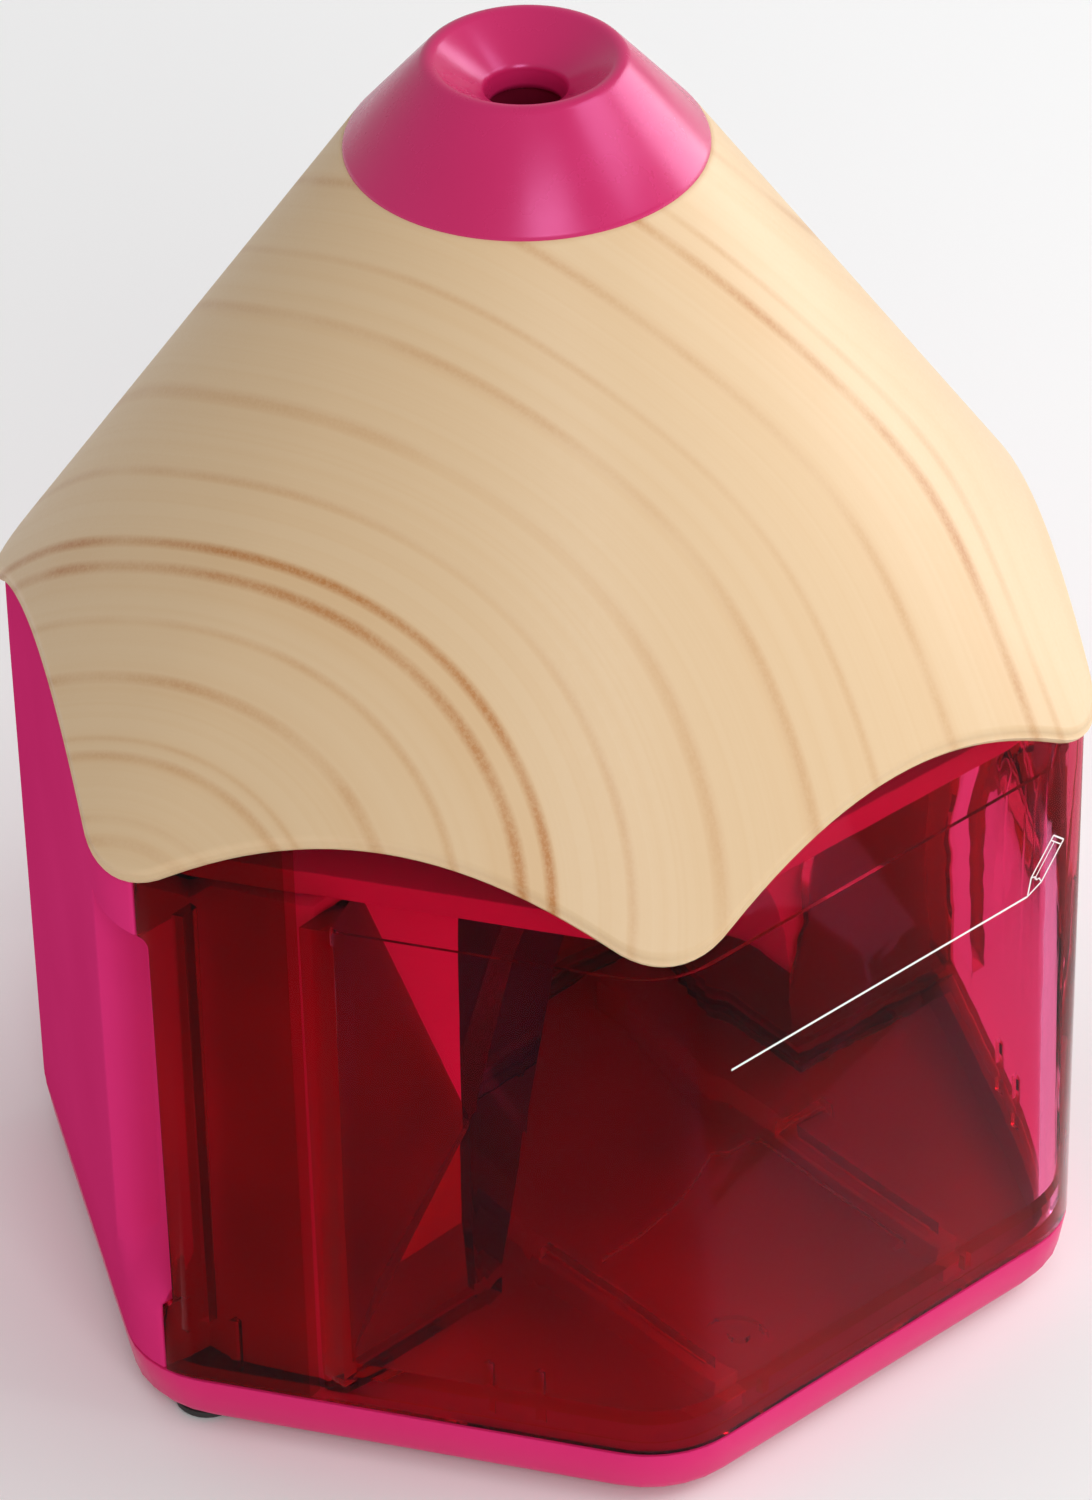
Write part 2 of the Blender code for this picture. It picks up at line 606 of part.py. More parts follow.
def cell(number, x, y):
    low, high = CELL_Z
    profile = [(6.6, low), (CELL_R, low + 0.6), (CELL_R, high - 2.1), (6.6, high - 1.5),
               (2.7, high - 1.5), (2.7, high)]
    return lathe(f"battery_cell_{number}", profile, CELL, (x, y), 24)


def door_parts(side, word):
    door = prism(f"battery_door_{word}", mirrored(door_outline(0.0), side),
                 FOOT_GAP, DOOR_TOP, PINK)
    low_x, high_x = sorted((side * 30.0, side * 34.6))
    leaf = [(low_x, 2.6), (high_x, 2.6), (high_x, 3.1), (high_x - 1.2, 3.1),
            ((low_x + high_x) / 2, 4.2), (low_x + 1.2, 3.1), (low_x, 3.1)]
    contact = plate(f"door_contact_{word}", leaf, -8.0, 13.0, BRASS)
    return [door, contact]


# ---- assembly --------------------------------------------------------------
def body(name, pieces, at, turn=None):
    """Parent a moving body's pieces to an empty on its joint's axis."""
    pivot = bpy.data.objects.new(name, None)
    pivot.matrix_world = Matrix.Translation(Vector(at) * MM) @ (turn or Matrix.Identity(4))
    bpy.context.scene.collection.objects.link(pivot)
    for piece in pieces:
        piece.parent = pivot
        piece.matrix_parent_inverse = pivot.matrix_world.inverted()


def fixed_parts():
    base_plate()
    rear_housing()
    wood_cover()
    tip_cap()
    gearbox_deck()
    lathe("carrier_bush", [(11.6, 61.8), (15.4, 61.8), (15.4, 63.5), (11.6, 63.5)],
          CREAM, steps=36, closed=True)
    ring_gear()
    pencil_guide()
    lathe("idler_pin", [(1.5, 61.8), (1.5, 73.0), (1.1, 73.4)], STEEL, IDLER_AT, 16)
    lathe("motor_can", [(4.0, 24.6), (4.0, MOTOR_Z[0]), (11.2, MOTOR_Z[0]),
                        (MOTOR_R, MOTOR_Z[0] + 0.8), (MOTOR_R, MOTOR_Z[1] - 0.8),
                        (11.2, MOTOR_Z[1])], STEEL, MOTOR_AT, 32)
    lathe("motor_bracket", [(3.2, 57.3), (12.0, 57.3), (12.0, 58.8), (3.2, 58.8)],
          STEEL, MOTOR_AT, 32, closed=True)
    for number, (x, y) in enumerate([(-CELL_X, CELL_Y[0]), (-CELL_X, CELL_Y[1]),
                                     (CELL_X, CELL_Y[0]), (CELL_X, CELL_Y[1])], start=1):
        cell(number, x, y)
    for side, word in ((-1, "left"), (1, "right")):
        low_x, high_x = sorted((side * 28.0, side * 37.0))
        box(f"top_contact_{word}", (low_x, CELL_Y[0] - 4.5, 55.4),
            (high_x, CELL_Y[1] + 4.5, 56.0), BRASS)
        screw(f"base_screw_{word}", side * POST_X, POST_Y, 1.3, 14.0)
        screw(f"deck_screw_{word}", side * POST_X, POST_Y, 63.0, 50.0)
    for number, (x, y) in enumerate(FOOT_PLACES, start=1):
        lathe(f"rubber_foot_{number}", [(2.6, 0.0), (3.0, 0.4), (3.0, 0.9)], RUBBER, (x, y), 24)
    cross_rod("lever_pin", [(0.7, 2.6), (0.7, -2.6)], *LEVER_PIVOT, STEEL, 12)
    box("pencil_switch", (-16.6, -2.6, 102.9), (-13.9, 2.6, 106.2), GREY)
    box("bin_switch", (PLUNGER_X - 4.0, 21.4, PLUNGER_Z - 5.0),
        (PLUNGER_X + 4.0, 27.5, PLUNGER_Z + 5.0), GREY)


def moving_parts():
    body("bin_slide", [shavings_bin()], (0.0, 0.0, BIN_FLOOR[0]))

    main = gear_outline(MAIN_TEETH, MAIN_MODULE, IDLER_ANGLE)
    drive = holed_gear("main_drive_gear", main, 11.7, *MAIN_Z, CREAM)
    axle = tilted_rod("cutter_axle", AXLE_R, -3.2, 28.7, STEEL)
    body("carrier_spin", [drive, cutter_carrier(), axle], (0.0, 0.0, MAIN_Z[0]))

    body("cutter_spin", [helical_cutter(), cutter_pinion()], tilted(0, 0, 0),
         Matrix.Rotation(TILT, 4, "Y"))
    body("idler_spin", [idler_gear()], (*IDLER_AT, MAIN_Z[0]))

    teeth = gear_outline(MOTOR_TEETH, MOTOR_MODULE,
                         MOTOR_FROM_IDLER + math.pi + math.pi / MOTOR_TEETH, MOTOR_AT)
    pinion = holed_gear("motor_pinion", teeth, 1.35, *UPPER_Z, BRASS, MOTOR_AT)
    shaft = lathe("motor_shaft", [(1.0, 56.8), (1.0, 73.2), (0.7, 73.5)], STEEL, MOTOR_AT, 16)
    body("motor_spin", [pinion, shaft], (*MOTOR_AT, UPPER_Z[0]))

    body("lever_hinge", [switch_lever()], (LEVER_PIVOT[0], 0.0, LEVER_PIVOT[1]))
    plunger = cross_rod("interlock_plunger",
                        [(1.5, 19.4), (1.5, 17.4), (3.0, 17.4), (3.0, 16.0), (1.5, 16.0),
                         (1.5, BIN_CENTRE_BACK + GAP)], PLUNGER_X, PLUNGER_Z, CREAM)
    body("plunger_slide", [plunger], (PLUNGER_X, 16.0, PLUNGER_Z))
    for side, word in ((-1, "left"), (1, "right")):
        body(f"door_{word}_slide", door_parts(side, word), (side * 32.0, 3.0, FOOT_GAP))


fixed_parts()
moving_parts()
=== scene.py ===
"""The looks of the pencil sharpener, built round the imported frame.

Lengths are in millimetres until mesh_piece() turns them into metres.
"""
import math

import bpy
from mathutils import Matrix, Vector


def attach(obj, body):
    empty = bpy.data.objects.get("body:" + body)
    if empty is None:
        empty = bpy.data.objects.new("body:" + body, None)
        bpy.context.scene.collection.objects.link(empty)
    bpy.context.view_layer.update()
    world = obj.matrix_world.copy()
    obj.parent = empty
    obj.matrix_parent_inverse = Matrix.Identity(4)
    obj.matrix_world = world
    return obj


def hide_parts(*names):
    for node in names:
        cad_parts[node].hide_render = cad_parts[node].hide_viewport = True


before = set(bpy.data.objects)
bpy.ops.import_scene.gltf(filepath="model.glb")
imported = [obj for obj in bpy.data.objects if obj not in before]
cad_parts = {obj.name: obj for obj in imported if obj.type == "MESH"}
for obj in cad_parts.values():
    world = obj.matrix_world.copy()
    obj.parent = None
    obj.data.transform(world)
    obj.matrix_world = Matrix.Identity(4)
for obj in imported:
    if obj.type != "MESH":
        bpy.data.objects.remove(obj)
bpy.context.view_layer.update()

MM = 0.001
SIXTH = math.radians(60)

# ---- sizes shared with the CAD part ----------------------------------------
GAP = 0.3
BASE_TOP, WALLS_FROM = 6.2, 6.5
SHARP_LIP, SHARP_SHOULDER, SHOULDER_Z, SHARP_WOOD = 51.0, 52.0, 62.6, 52.5
CORNER_FILLET = 9.9
ARC_HALF, ARC_STEPS, FLAT_STEPS = math.radians(6.2), 12, 24
APEX_Z, CONE_SLOPE, CONE_TOP, SHELL = 137.0, 0.685, 113.7, 2.9
WOOD_EDGE, COVER_DEPTH = 0.7, 3.4
WALL, HOUSING_WALL, BIN_WALL = 2.0, 1.8, 1.8
PARTING_Y, BIN_END_Y = -1.5, -1.8
ROOM_TOP, SEAM_TOP, BIN_INNER_TOP = 58.8, 55.8, 58.3
BIN_BACK_Y, BIN_CENTRE_HALF, BIN_CENTRE_BACK = -13.8, 22.5, 12.6
BIN_FLOOR = (8.4, 10.0)
BIN_OVERLAP = 1.0              # how far the tray's walls run into the outer wall
BAY_Y, BAY_HALF, BAY_BACK, BAY_FRONT_X = -13.2, 23.0, 13.2, 39.4
FLANGE_X, FLANGE_Y = 43.6, -4.5
GRIP_X, GRIP_END_Y, GRIP_BLEND = 44.6, 7.0, 3.6
GRIP_FOOT, GRIP_FULL, GRIP_HEAD, GRIP_END = 12.6, 19.0, 54.6, 55.3
HOLE_R = 4.05
PLUNGER_X, PLUNGER_Z, PLUNGER_HOLE_R = -12.0, 35.0, 1.9
NOTCH_X, NOTCH_BACK_Y = (47.0, 60.0), 4.0
NOTCH_Y, NOTCH_Z, NOTCH_ROUND = -3.5, (13.4, 56.0), 1.6

# ---- camera ----------------------------------------------------------------
AIM = (-0.36, 0.67, 46.55)
AZIMUTH, ELEVATION, ROLL = math.radians(-42.4), math.radians(35.0), math.radians(-1.387)
DISTANCE = 897.6
FOCAL, SHIFT = 236.4, (0.0081, 0.0183)


def make_camera():
    back = Vector((math.sin(AZIMUTH) * math.cos(ELEVATION),
                   -math.cos(AZIMUTH) * math.cos(ELEVATION), math.sin(ELEVATION)))
    right = Vector((0, 0, 1)).cross(back).normalized()
    up = back.cross(right)
    side = right * math.cos(ROLL) + up * math.sin(ROLL)
    top = up * math.cos(ROLL) - right * math.sin(ROLL)
    data = bpy.data.cameras.new("camera")
    data.sensor_width = 36.0
    data.lens = FOCAL
    data.shift_x, data.shift_y = SHIFT
    data.clip_start, data.clip_end = 0.01, 20.0
    camera = bpy.data.objects.new("camera", data)
    turn = Matrix((side, top, back)).transposed().to_4x4()
    camera.matrix_world = Matrix.Translation((Vector(AIM) + back * DISTANCE) * MM) @ turn
    bpy.context.scene.collection.objects.link(camera)
    bpy.context.scene.camera = camera


# ---- mesh helpers ----------------------------------------------------------
def mesh_piece(name, points, faces, sharp=35.0):
    mesh = bpy.data.meshes.new(name)
    mesh.from_pydata([[c * MM for c in point] for point in points], [], faces)
    mesh.validate()
    mesh.shade_smooth()
    mesh.set_sharp_from_angle(angle=math.radians(sharp))
    piece = bpy.data.objects.new(name, mesh)
    bpy.context.scene.collection.objects.link(piece)
    return piece


def skin(name, rings, closed=False, sharp=35.0):
    """Join rings of equal point counts, and cap the ends or join them too."""
    count = len(rings[0])
    points = [point for ring in rings for point in ring]
    faces = []
    for span in range(len(rings) if closed else len(rings) - 1):
        low, high = span * count, (span + 1) % len(rings) * count
        for i in range(count):
            j = (i + 1) % count
            faces.append((low + i, low + j, high + j, high + i))
    if not closed:
        faces.append(tuple(range(count))[::-1])
        last = (len(rings) - 1) * count
        faces.append(tuple(range(last, last + count)))
    return mesh_piece(name, points, faces, sharp)


def prism(name, outline, low, high):
    return skin(name, [[(x, y, z) for x, y in outline] for z in (low, high)])


def lathe(name, profile, centre=(0.0, 0.0), steps=96, closed=False, sharp=35.0):
    rings = [[(centre[0] + r * math.cos(a), centre[1] + r * math.sin(a), z)
              for a in turn_angles(steps)] for r, z in profile]
    return skin(name, rings, closed, sharp)


def turn_angles(steps):
    return [2 * math.pi * i / steps for i in range(steps)]


def box(name, low, high):
    outline = [(low[0], low[1]), (high[0], low[1]), (high[0], high[1]), (low[0], high[1])]
    return prism(name, outline, low[2], high[2])


def round_corner(before, corner, after, radius, steps=4):
    """Points of an arc that rounds one corner of a profile."""
    corner = Vector(corner)
    one, two = (Vector(before) - corner), (Vector(after) - corner)
    half = one.angle(two) / 2
    reach = min(radius / math.tan(half), 0.49 * min(one.length, two.length))
    radius = reach * math.tan(half)
    start, end = corner + one.normalized() * reach, corner + two.normalized() * reach
    middle = corner + (one.normalized() + two.normalized()).normalized() * radius / math.sin(half)
    first, last = start - middle, end - middle
    points = []
    for i in range(steps + 1):
        turn = first.slerp(last, i / steps) if first.angle(last) > 1e-4 else first
        points.append(tuple(middle + turn))
    return points


def rounded(profile, radii, steps=4):
    """A closed profile with each corner rounded by its own radius."""
    points = []
    for i, (point, radius) in enumerate(zip(profile, radii)):
        if radius:
            before, after = profile[i - 1], profile[(i + 1) % len(profile)]
            points += round_corner(before, point, after, radius, steps)
        else:
            points.append(tuple(point))
    return points


def apply_modifiers(piece):
    """Bake a piece's modifiers into its mesh, so that guides can be removed."""
    graph = bpy.context.evaluated_depsgraph_get()
    mesh = bpy.data.meshes.new_from_object(piece.evaluated_get(graph))
    piece.modifiers.clear()
    piece.data = mesh


def combine(target, tool, operation, solver="EXACT"):
    made = target.modifiers.new(tool.name, "BOOLEAN")
    made.operation, made.solver, made.object = operation, solver, tool
    apply_modifiers(target)
    bpy.data.objects.remove(tool)


def soften(piece, width):
    """Small rounded edges that catch the light."""
    made = piece.modifiers.new("soft_edges", "BEVEL")
    made.width, made.segments = width * MM, 2
    made.limit_method, made.angle_limit = "ANGLE", math.radians(35)
    made.use_clamp_overlap = True
    made.harden_normals = False
    apply_modifiers(piece)
    piece.data.shade_smooth()
    piece.data.set_sharp_from_angle(angle=math.radians(40))


def finish(piece, material, body, slot, *nodes):
    piece.data.materials.clear()
    for one in material if isinstance(material, tuple) else (material,):
        piece.data.materials.append(one)
    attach(piece, body)
    if nodes:
        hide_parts(*nodes)
    return piece


# ---- the rounded hexagon, as in the CAD part -------------------------------
def hexagon_radius(angle, sharp, inset=0.0):
    half = SIXTH / 2
    off = abs((angle + half) % SIXTH - half)
    fillet = CORNER_FILLET - inset
    corner = sharp - inset / math.cos(half)
    centre = corner - fillet / math.cos(half)
    tangent = math.atan2(fillet * math.sin(half), centre + fillet * math.cos(half))
    if off < tangent:
        return centre * math.cos(off) + math.sqrt(fillet**2 - (centre * math.sin(off))**2)
    return corner * math.cos(half) / math.cos(half - off)


def body_sharp(z):
    return SHARP_LIP + (SHARP_SHOULDER - SHARP_LIP) * (z - BASE_TOP) / (SHOULDER_Z - BASE_TOP)


def outline_angles():
    """Angles round the outline, closer together round each corner."""
    arc = [ARC_HALF * (2 * i / ARC_STEPS - 1) for i in range(ARC_STEPS)]
    flat = [ARC_HALF + (SIXTH - 2 * ARC_HALF) * i / FLAT_STEPS for i in range(FLAT_STEPS)]
    return [corner * SIXTH + off for corner in range(6) for off in arc + flat]


def polar(radius, angle, z):
    return (radius * math.cos(angle), radius * math.sin(angle), z)


def border_z(angle):
    """Height of the cone cover's lower border."""
    return APEX_Z - hexagon_radius(angle, SHARP_WOOD) / CONE_SLOPE


def wall_top(angle):
    return border_z(angle) - WOOD_EDGE - 0.45


def smooth_step(low, high, value):
    share = min(1.0, max(0.0, (value - low) / (high - low)))
    return share * share * (3 - 2 * share)


# ---- materials -------------------------------------------------------------
class Shader:
    """Short names for building a node material round one Principled shader."""

    def __init__(self, name, **sockets):
        self.material = bpy.data.materials.new(name)
        self.material.use_nodes = True
        self.tree = self.material.node_tree
        self.main = self.tree.nodes["Principled BSDF"]
        for socket, value in sockets.items():
            self.main.inputs[socket.replace("_", " ")].default_value = value

    def node(self, kind, settings=None, **inputs):
        made = self.tree.nodes.new(kind)
        for key, value in (settings or {}).items():
            setattr(made, key, value)
        for key, value in inputs.items():
            self.feed(made.inputs[key.replace("_", " ")], value)
        return made

    def feed(self, socket, value):
        if isinstance(value, bpy.types.NodeSocket):
            self.tree.links.new(value, socket)
        else:
            socket.default_value = value

    def math(self, operation, first, second=0.0, third=0.0):
        made = self.tree.nodes.new("ShaderNodeMath")
        made.operation = operation
        for socket, value in zip(made.inputs, (first, second, third)):
            self.feed(socket, value)
        return made.outputs[0]

    def place(self, scale=1.0, at=(0, 0, 0), turn=(0, 0, 0)):
        """Object coordinates in millimetres, turned about a point."""
        coords = self.node("ShaderNodeTexCoord").outputs["Object"]
        made = self.node("ShaderNodeMapping", {"vector_type": "TEXTURE"}, Vector=coords)
        made.inputs["Location"].default_value = [c * MM for c in at]
        made.inputs["Rotation"].default_value = turn
        made.inputs["Scale"].default_value = [MM / scale] * 3
        return made.outputs[0]

    def noise(self, vector, scale, detail=3.0, roughness=0.5):
        return self.node("ShaderNodeTexNoise", Vector=vector, Scale=scale, Detail=detail,
                         Roughness=roughness).outputs["Fac"]

    def spread(self, value, low, high, out_low=0.0, out_high=1.0):
        return self.node("ShaderNodeMapRange", Value=value, From_Min=low, From_Max=high,
                         To_Min=out_low, To_Max=out_high).outputs[0]

    def blend(self, share, first, second):
        made = self.node("ShaderNodeMix", {"data_type": "RGBA"})
        self.feed(made.inputs[0], share)
        self.feed(made.inputs[6], first)
        self.feed(made.inputs[7], second)
        return made.outputs[2]

    def bump(self, height, strength, distance_mm):
        made = self.node("ShaderNodeBump", Height=height, Strength=strength)
        made.inputs["Distance"].default_value = distance_mm * MM
        self.tree.links.new(made.outputs[0], self.main.inputs["Normal"])

    def set(self, socket, value):
        self.feed(self.main.inputs[socket], value)


def moulded(name, colour, dark, roughness, grain=0.05, **sockets):
    """Moulded plastic or metal: faint flow marks, a fine skin and worn gloss."""
    made = Shader(name, **sockets)
    place = made.place()
    flow = made.noise(place, 0.05, 3)
    made.set("Base Color", made.blend(made.spread(flow, 0.3, 0.7), (*colour, 1), (*dark, 1)))
    fine = made.noise(place, 2.2, 4, 0.6)
    smear = made.noise(place, 0.12, 5, 0.65)
    made.set("Roughness", made.spread(smear, 0.3, 0.7, roughness * 0.85, roughness * 1.2))
    made.bump(fine, grain, 0.05)
    return made.material


# Growth rings near the corner, as (radius, half width, darkness).
GROWTH_RINGS = ((8.0, 0.7, 0.6), (10.0, 0.5, 0.4), (15.5, 0.6, 0.7), (17.0, 0.4, 0.35),
                (22.5, 0.7, 0.65), (27.5, 0.5, 0.35), (32.2, 0.7, 0.9), (34.4, 0.6, 1.0),
                (40.5, 0.6, 0.3), (47.5, 0.9, 0.28), (55.5, 0.7, 0.35), (61.0, 0.5, 0.25),
                (67.5, 0.6, 0.4), (74.0, 0.6, 0.85), (76.0, 0.4, 0.4), (82.5, 0.4, 0.45),
                (87.0, 0.6, 0.65), (94.5, 0.5, 0.35), (102.0, 0.6, 0.55), (111.0, 0.5, 0.5),
                (119.0, 0.6, 0.6), (130.0, 0.7, 0.5), (142.0, 0.6, 0.6))


def printed_wood():
    """Growth rings cut by the cone, printed on satin plastic."""
    made = Shader("printed_wood", Coat_Weight=0.08, Coat_Roughness=0.35)
    # The log's axis leaves the cover at its left corner, so rings arch round that corner.
    pith = made.place(at=(-50.5, -6.0, 53.5), turn=(0, math.radians(56), math.radians(-138)))
    warp = made.node("ShaderNodeTexNoise", Vector=pith, Scale=0.022, Detail=0.0)
    bent = made.node("ShaderNodeVectorMath", {"operation": "MULTIPLY_ADD"})
    made.feed(bent.inputs[0], warp.outputs["Color"])
    bent.inputs[1].default_value = (7.0, 7.0, 7.0)
    made.feed(bent.inputs[2], pith)
    split = made.node("ShaderNodeSeparateXYZ", Vector=bent.outputs[0])
    across = made.math("MULTIPLY", split.outputs[1], 0.9)
    ring = made.math("SQRT", made.math("ADD", made.math("MULTIPLY", across, across),
                                       made.math("MULTIPLY", split.outputs[0],
                                                 split.outputs[0])))
    lines = shade = 0.0
    for radius, width, dark in GROWTH_RINGS:
        off = made.math("SUBTRACT", ring, radius)
        line = made.spread(made.math("ABSOLUTE", off), 0.2 * width, width, dark, 0.0)
        lines = made.math("MAXIMUM", line, lines)
        # The wood darkens towards the line from inside the ring, and stops at it.
        rise = made.spread(off, -5.0 * width, 0.0, 0.0, dark)
        fall = made.spread(off, 0.0, 1.5 * width, 1.0, 0.0)
        shade = made.math("MAXIMUM", made.math("MULTIPLY", rise, fall), shade)
    grain = made.node("ShaderNodeTexNoise", {"noise_dimensions": "1D"}, W=ring, Scale=0.9,
                      Detail=2.0, Roughness=0.6).outputs["Fac"]
    patch = made.spread(made.noise(pith, 0.05, 2), 0.36, 0.58, 0.25, 1.0)
    print_dots = made.spread(made.noise(made.place(), 2.6, 3, 0.75), 0.35, 0.6, 0.6, 1.0)
    pale, warm, brown = (0.70, 0.50, 0.295, 1), (0.63, 0.385, 0.175, 1), (0.46, 0.18, 0.04, 1)
    soft = made.math("MULTIPLY", made.spread(grain, 0.4, 0.75), 0.2)
    ground = made.blend(soft, pale, warm)
    ground = made.blend(made.math("MULTIPLY", shade, made.math("MULTIPLY", patch, 0.55)),
                        ground, warm)
    ink = made.math("MULTIPLY", made.math("MULTIPLY", lines, patch), print_dots)
    inked = made.blend(made.math("MULTIPLY", ink, 0.95), ground, brown)
    made.set("Base Color", inked)
    skin_noise = made.noise(made.place(), 3.0, 3, 0.6)
    made.set("Roughness", made.spread(skin_noise, 0.3, 0.7, 0.42, 0.55))
    made.bump(skin_noise, 0.10, 0.06)
    return made.material


def clear_red(name, tint, dark_tint):
    made = Shader(name, Roughness=0.02, IOR=1.1, Coat_Weight=0.06, Coat_Roughness=0.03,
                  Transmission_Weight=1.0, Specular_Tint=(1.0, 0.6, 0.75, 1.0))
    place = made.place()
    flow = made.noise(place, 0.04, 2)
    made.set("Base Color", made.blend(made.spread(flow, 0.3, 0.7), (*tint, 1), (*dark_tint, 1)))
    waves = made.noise(place, 0.11, 2)
    made.bump(waves, 0.12, 0.5)
    return made.material


# ---- pieces ----------------------------------------------------------------
def cone_cover(material):
    sections = []
    for angle in outline_angles():
        edge, low = hexagon_radius(angle, SHARP_WOOD), border_z(angle)
        inner = edge - COVER_DEPTH
        top_r = (APEX_Z - CONE_TOP) * CONE_SLOPE
        profile = [(inner, low - WOOD_EDGE), (inner, APEX_Z - (inner + SHELL) / CONE_SLOPE),
                   (top_r - SHELL, CONE_TOP), (top_r, CONE_TOP), (edge, low),
                   (edge - 0.35, low - WOOD_EDGE)]
        ring = rounded(profile, [0.2, 0, 0.2, 0.45, 1.1, 0.3], 4)
        sections.append([polar(r, angle, z) for r, z in ring])
    piece = skin("cone_shell", sections, closed=True, sharp=60)
    return finish(piece, material, "root", "printed_cone", "wood_cover")


def cap(material):
    foot = CONE_TOP + GAP
    profile = [(11.2, 111.8), (12.6, 111.8), (12.6, foot), (15.35, foot),
               (8.65, 124.1), (HOLE_R, 119.6), (HOLE_R, 118.2), (7.6, 118.2), (11.2, 113.6)]
    radii = [0.2, 0.2, 0.2, 0.12, 1.3, 0.55, 0.2, 0.3, 0.3]
    piece = lathe("cap_shell", rounded(profile, radii, 6), closed=True, steps=128, sharp=60)
    return finish(piece, material, "root", "pink_plastic", "tip_cap")


def grip_share(z):
    """How much of the finger grip's depth the housing has at a height."""
    return smooth_step(GRIP_FOOT, GRIP_FULL, z) * (1 - smooth_step(GRIP_HEAD, GRIP_END, z))


def housing_plan(z, at_top):
    sharp = body_sharp(z)
    end = math.asin(-PARTING_Y / hexagon_radius(0.0, sharp))
    angles = [a for a in outline_angles() if -end + 0.01 < a < math.pi + end - 0.01]
    plan = []
    for angle in [-end] + angles + [math.pi + end]:
        x, y, _ = polar(hexagon_radius(angle, sharp), angle, z)
        share = 1 - smooth_step(GRIP_END_Y - GRIP_BLEND, GRIP_END_Y, y)
        share *= 0.0 if at_top else grip_share(z)
        if abs(x) > GRIP_X:
            x += (math.copysign(GRIP_X, x) - x) * share
        plan.append((x, y, wall_top(angle)))
    left = [(-FLANGE_X, PARTING_Y, SEAM_TOP), (-FLANGE_X, FLANGE_Y, ROOM_TOP),
            (-BAY_FRONT_X, BAY_Y, ROOM_TOP), (-BAY_HALF, BAY_Y, ROOM_TOP),
            (-BAY_HALF, BAY_BACK, ROOM_TOP)]
    return plan + left + [(-x, y, top) for x, y, top in reversed(left)]


def offset_inward(plan, distance):
    """Each corner of an anticlockwise line moved to its left, keeping the wall even."""
    moved, count = [], len(plan)
    for i in range(count):
        before, here, after = (Vector(plan[k % count][:2]) for k in (i - 1, i, i + 1))
        first, second = (here - before).normalized(), (after - here).normalized()
        left_a, left_b = Vector((-first.y, first.x)), Vector((-second.y, second.x))
        moved.append(here + (left_a + left_b) / (1 + left_a.dot(left_b)) * distance)
    return moved


def housing(material):
    rise = GRIP_FULL - GRIP_FOOT
    levels = [WALLS_FROM, GRIP_FOOT] + [GRIP_FOOT + rise * i / 8 for i in range(1, 9)]
    # The last level, None, stands for the top of each part of the wall.
    levels += [36.0, GRIP_HEAD, 54.8, 54.95, 55.1, GRIP_END, None]
    columns = None
    for z in levels:
        plan = housing_plan(ROOM_TOP if z is None else z, z is None)
        inner = offset_inward(plan, HOUSING_WALL)
        columns = columns or [([], []) for _ in plan]
        for column, (x, y, top), hidden in zip(columns, plan, inner):
            height = top if z is None else z
            column[0].append((x, y, height))
            column[1].append((hidden.x, hidden.y, height))
    piece = skin("housing_shell", [(outer + within[::-1])[::-1] for outer, within in columns],
                 closed=True)
    hole = lathe("plunger_hole", [(PLUNGER_HOLE_R, -4.0), (PLUNGER_HOLE_R, 4.0)], steps=32)
    hole.data.transform(Matrix.Translation(Vector((PLUNGER_X, 14.2, PLUNGER_Z)) * MM)
                        @ Matrix.Rotation(math.radians(90), 4, "X"))
    combine(piece, hole, "DIFFERENCE")
    soften(piece, 0.35)
    return finish(piece, material, "root", "pink_plastic", "rear_housing")


def tray_outline(z, inset):
    """The tray's plan. Its point count changes a little with the height."""
    wall = BIN_WALL if inset > BIN_OVERLAP else 0.0
    back, half, deep = BIN_BACK_Y - wall, BIN_CENTRE_HALF - wall, BIN_CENTRE_BACK - wall
    sharp = body_sharp(z)
    side_x = (sharp * math.cos(SIXTH / 2) - inset + back * 0.5) / math.cos(SIXTH / 2)
    end = math.atan2(-back, side_x)
    angles = [a for a in outline_angles() if math.pi + end + 0.01 < a < 2 * math.pi - end - 0.01]
    outline = [(-side_x, back)]
    outline += [polar(hexagon_radius(a, sharp, inset), a, z)[:2] for a in angles]
    return outline + [(side_x, back), (half, back), (half, deep), (-half, deep), (-half, back)]


def tray_solid(name, low, high, inset):
    # The cavity's two rings differ by two points, which skin() doesn't allow for, so the
    # cut is twisted and the tray's inner walls are the wrong shape.
    return skin(name, [[(x, y, z) for x, y in tray_outline(z, inset)] for z in (low, high)])


